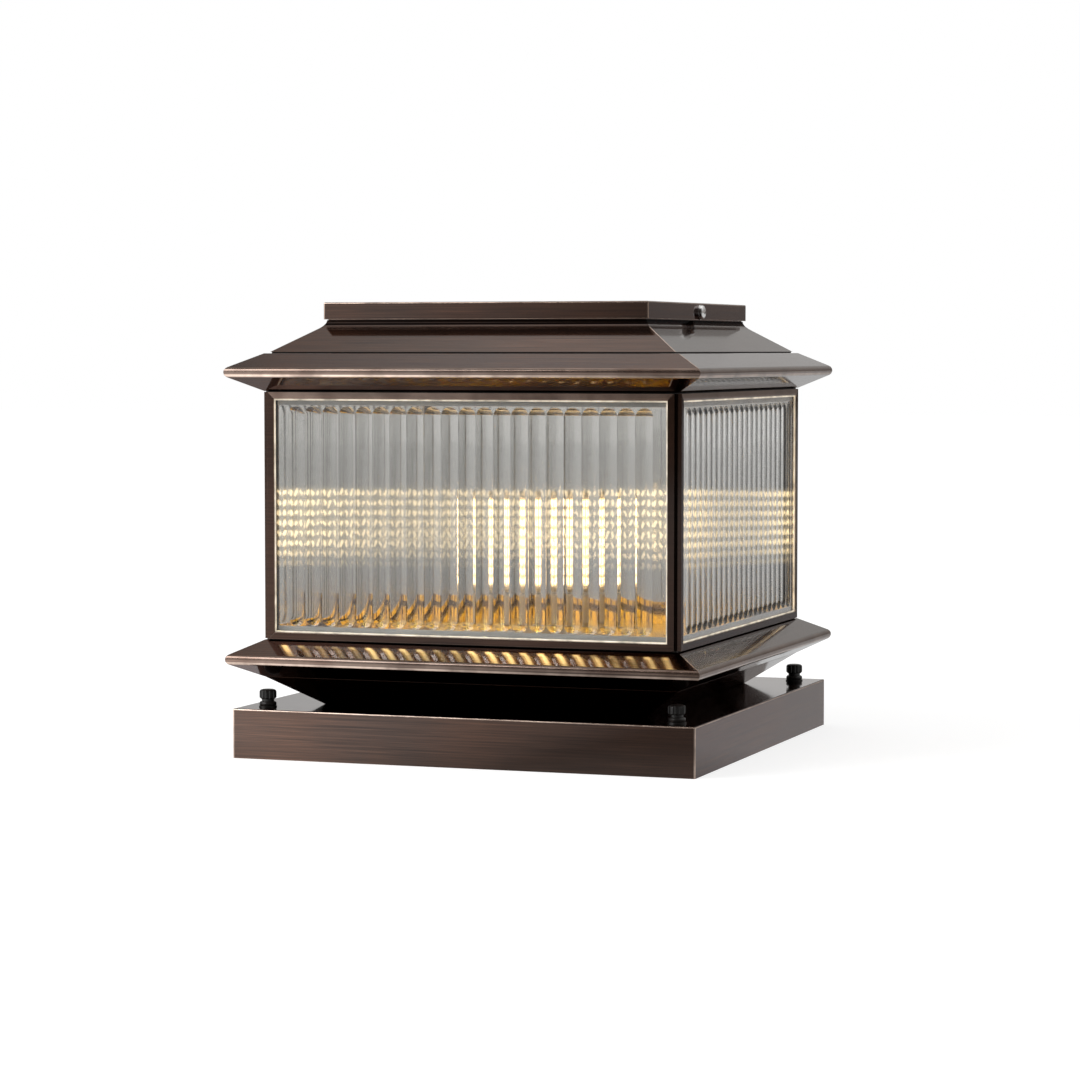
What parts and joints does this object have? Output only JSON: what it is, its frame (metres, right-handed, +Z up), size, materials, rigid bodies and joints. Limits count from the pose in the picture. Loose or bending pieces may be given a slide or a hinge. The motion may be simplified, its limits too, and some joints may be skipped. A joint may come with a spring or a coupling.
{
  "type": "pillar light",
  "caption": "Square pillar light: a glazed lantern with fluted panes between two pointed eaves, on a splayed neck and base, under a hipped roof with a lift-off cap.",
  "frame": {"origin": "middle of the underside, on the pillar's top", "axes": "+Z up through the cap, -Y out of the front pane, +X to the right seen from the front"},
  "size_m": [0.3, 0.3, 0.2763],
  "materials": {
    "antique_bronze": "steel sheet with a brushed antique bronze finish",
    "plate_steel": "zinc-plated steel",
    "stainless": "bright stainless steel",
    "black_plastic": "black moulded plastic",
    "black_rubber": "matt black rubber",
    "grey_rubber": "dark grey silicone seal",
    "clear_glass": "clear fluted glass",
    "gold_tray": "gold-coloured sheet",
    "ceramic_ivory": "glazed ceramic",
    "contact_brass": "bright brass",
    "white_plastic": "white plastic",
    "brown_wire": "brown insulation",
    "blue_wire": "blue insulation",
    "green_wire": "green insulation",
    "board_green": "green circuit board",
    "lamp_nickel": "nickel-plated sheet",
    "chip_yellow": "yellow light chips"
  },
  "bodies": {
    "mount": {"mounting_plate": "plate_steel", "plate_pillars": "plate_steel", "cable_grommet": "black_rubber"},
    "lantern": {"base_cover": "antique_bronze", "neck": "antique_bronze", "lower_eave": "antique_bronze", "frame_gaskets": "black_rubber", "corner_post_1": "antique_bronze", "corner_post_2": "antique_bronze", "corner_post_3": "antique_bronze", "corner_post_4": "antique_bronze", "bottom_rails": "antique_bronze", "top_rails": "antique_bronze", "corner_beads": "antique_bronze", "glass_front": "clear_glass", "glass_right": "clear_glass", "glass_back": "clear_glass", "glass_left": "clear_glass", "pane_seals": "grey_rubber", "upper_eave": "antique_bronze", "roof": "antique_bronze", "roof_collar": "antique_bronze", "floor_tray": "gold_tray", "tray_screws": "stainless", "tray_nuts": "stainless", "holder_bracket": "plate_steel", "holder_screws": "stainless", "holder_body": "ceramic_ivory", "holder_shell": "contact_brass", "holder_contact": "contact_brass", "terminal_block": "white_plastic", "wire_grommet": "black_rubber", "live_lead": "brown_wire", "neutral_lead": "blue_wire", "earth_lead": "green_wire", "earth_screw": "contact_brass", "earth_nut": "contact_brass"},
    "lamp_foot": {"lamp_tip": "black_plastic"},
    "lamp": {"lamp_board": "board_green", "lamp_screw_cap": "lamp_nickel", "lamp_housing": "white_plastic", "lamp_column": "white_plastic", "lamp_chips": "chip_yellow", "lamp_top": "white_plastic"},
    "cap": {"cap": "antique_bronze", "cap_foam": "black_rubber", "cap_nuts": "stainless"},
    "cap_washer_right": {"cap_washer_right": "stainless"},
    "cap_screw_right": {"cap_screw_right": "stainless"},
    "cap_washer_left": {"cap_washer_left": "stainless"},
    "cap_screw_left": {"cap_screw_left": "stainless"},
    "thumb_washer_1": {"thumb_washer_1": "black_plastic"},
    "thumb_screw_1": {"thumb_screw_1": "black_plastic"},
    "thumb_washer_2": {"thumb_washer_2": "black_plastic"},
    "thumb_screw_2": {"thumb_screw_2": "black_plastic"},
    "thumb_washer_3": {"thumb_washer_3": "black_plastic"},
    "thumb_screw_3": {"thumb_screw_3": "black_plastic"},
    "thumb_washer_4": {"thumb_washer_4": "black_plastic"},
    "thumb_screw_4": {"thumb_screw_4": "black_plastic"}
  },
  "joints": [
    {"name": "lantern_lift", "type": "slide", "parent": "mount", "child": "lantern", "axis": [0, 0, 1], "range_m": [0, 0.06]},
    {"name": "cap_lift", "type": "slide", "parent": "lantern", "child": "cap", "axis": [0, 0, 1], "range_m": [0, 0.04]},
    {"name": "lamp_rise", "type": "slide", "parent": "lantern", "child": "lamp_foot", "axis": [0, 0, 1], "range_m": [0, 0.01452]},
    {"name": "lamp_turn", "type": "hinge", "parent": "lamp_foot", "child": "lamp", "pos_m": [0, 0, 0.1], "axis": [0, 0, 1], "range_deg": [0, 1440]},
    {"name": "cap_screw_right_draw", "type": "slide", "parent": "cap", "child": "cap_washer_right", "axis": [1, 0, 0], "range_m": [0, 0.0077]},
    {"name": "cap_screw_right_turn", "type": "hinge", "parent": "cap_washer_right", "child": "cap_screw_right", "pos_m": [0.1048, 0, 0.2705], "axis": [1, 0, 0], "range_deg": [0, 3960]},
    {"name": "cap_screw_left_draw", "type": "slide", "parent": "cap", "child": "cap_washer_left", "axis": [-1, 0, 0], "range_m": [0, 0.0077]},
    {"name": "cap_screw_left_turn", "type": "hinge", "parent": "cap_washer_left", "child": "cap_screw_left", "pos_m": [-0.1048, 0, 0.2705], "axis": [-1, 0, 0], "range_deg": [0, 3960]},
    {"name": "thumb_screw_1_rise", "type": "slide", "parent": "lantern", "child": "thumb_washer_1", "axis": [0, 0, 1], "range_m": [0, 0.004]},
    {"name": "thumb_screw_1_turn", "type": "hinge", "parent": "thumb_washer_1", "child": "thumb_screw_1", "pos_m": [0.1303, -0.1303, 0.031], "axis": [0, 0, 1], "range_deg": [0, 1440]},
    {"name": "thumb_screw_2_rise", "type": "slide", "parent": "lantern", "child": "thumb_washer_2", "axis": [0, 0, 1], "range_m": [0, 0.004]},
    {"name": "thumb_screw_2_turn", "type": "hinge", "parent": "thumb_washer_2", "child": "thumb_screw_2", "pos_m": [0.1303, 0.1303, 0.031], "axis": [0, 0, 1], "range_deg": [0, 1440]},
    {"name": "thumb_screw_3_rise", "type": "slide", "parent": "lantern", "child": "thumb_washer_3", "axis": [0, 0, 1], "range_m": [0, 0.004]},
    {"name": "thumb_screw_3_turn", "type": "hinge", "parent": "thumb_washer_3", "child": "thumb_screw_3", "pos_m": [-0.1303, 0.1303, 0.031], "axis": [0, 0, 1], "range_deg": [0, 1440]},
    {"name": "thumb_screw_4_rise", "type": "slide", "parent": "lantern", "child": "thumb_washer_4", "axis": [0, 0, 1], "range_m": [0, 0.004]},
    {"name": "thumb_screw_4_turn", "type": "hinge", "parent": "thumb_washer_4", "child": "thumb_screw_4", "pos_m": [-0.1303, -0.1303, 0.031], "axis": [0, 0, 1], "range_deg": [0, 1440]}
  ],
  "couplings": [
    {"joint": "lamp_turn", "follows": "lamp_rise", "rad_per_m": 1730},
    {"joint": "cap_screw_right_turn", "follows": "cap_screw_right_draw", "rad_per_m": 8975},
    {"joint": "cap_screw_left_turn", "follows": "cap_screw_left_draw", "rad_per_m": 8975},
    {"joint": "thumb_screw_1_turn", "follows": "thumb_screw_1_rise", "rad_per_m": 6283},
    {"joint": "thumb_screw_2_turn", "follows": "thumb_screw_2_rise", "rad_per_m": 6283},
    {"joint": "thumb_screw_3_turn", "follows": "thumb_screw_3_rise", "rad_per_m": 6283},
    {"joint": "thumb_screw_4_turn", "follows": "thumb_screw_4_rise", "rad_per_m": 6283}
  ]
}
